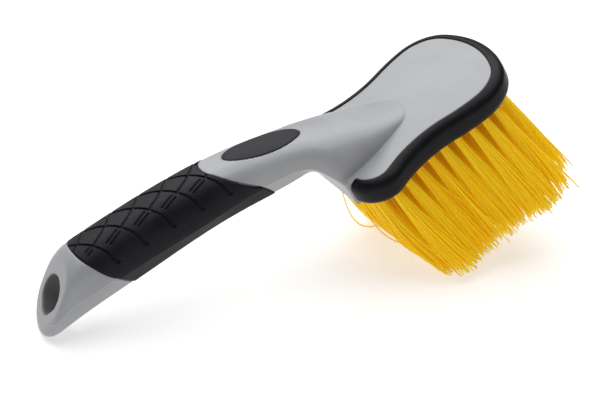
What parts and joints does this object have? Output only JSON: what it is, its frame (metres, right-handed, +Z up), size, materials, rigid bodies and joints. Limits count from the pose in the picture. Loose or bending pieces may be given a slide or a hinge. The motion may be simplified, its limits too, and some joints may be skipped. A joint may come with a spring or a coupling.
{
  "type": "wheel brush",
  "caption": "Car wheel wash brush with a contoured soft-grip handle, a wide head in a soft bumper and long yellow bristle tufts, lying at rest",
  "frame": {"origin": "On the table that the brush rests on, under the middle of its bounding box. The brush lies as it is put down: on the butt of its handle and on the tips of the rearmost bristle tufts, bristles down.", "axes": "+Z up from the table, +X from the handle's butt towards the front of the head, and the XZ plane is the brush's plane of symmetry. The head's flat top plate is tilted front up by 30.2 degrees about Y."},
  "size_m": [0.287, 0.0962, 0.1116],
  "materials": {
    "grey_plastic": "satin",
    "black_soft_touch": "satin",
    "yellow_filament": "satin",
    "staple_wire": "drawn"
  },
  "bodies": {
    "root": {"body_moulding": "grey_plastic", "grip_sleeve": "black_soft_touch", "thumb_pad": "black_soft_touch", "head_bumper": "black_soft_touch", "tuft_row_01": "yellow_filament", "tuft_row_02": "yellow_filament", "tuft_row_03": "yellow_filament", "tuft_row_04": "yellow_filament", "tuft_row_05": "yellow_filament", "tuft_row_06": "yellow_filament", "tuft_row_07": "yellow_filament", "tuft_row_08": "yellow_filament", "tuft_row_09": "yellow_filament", "tuft_row_10": "yellow_filament", "tuft_row_11": "yellow_filament", "anchor_row_01": "staple_wire", "anchor_row_02": "staple_wire", "anchor_row_03": "staple_wire", "anchor_row_04": "staple_wire", "anchor_row_05": "staple_wire", "anchor_row_06": "staple_wire", "anchor_row_07": "staple_wire", "anchor_row_08": "staple_wire", "anchor_row_09": "staple_wire", "anchor_row_10": "staple_wire", "anchor_row_11": "staple_wire"}
  },
  "joints": []
}
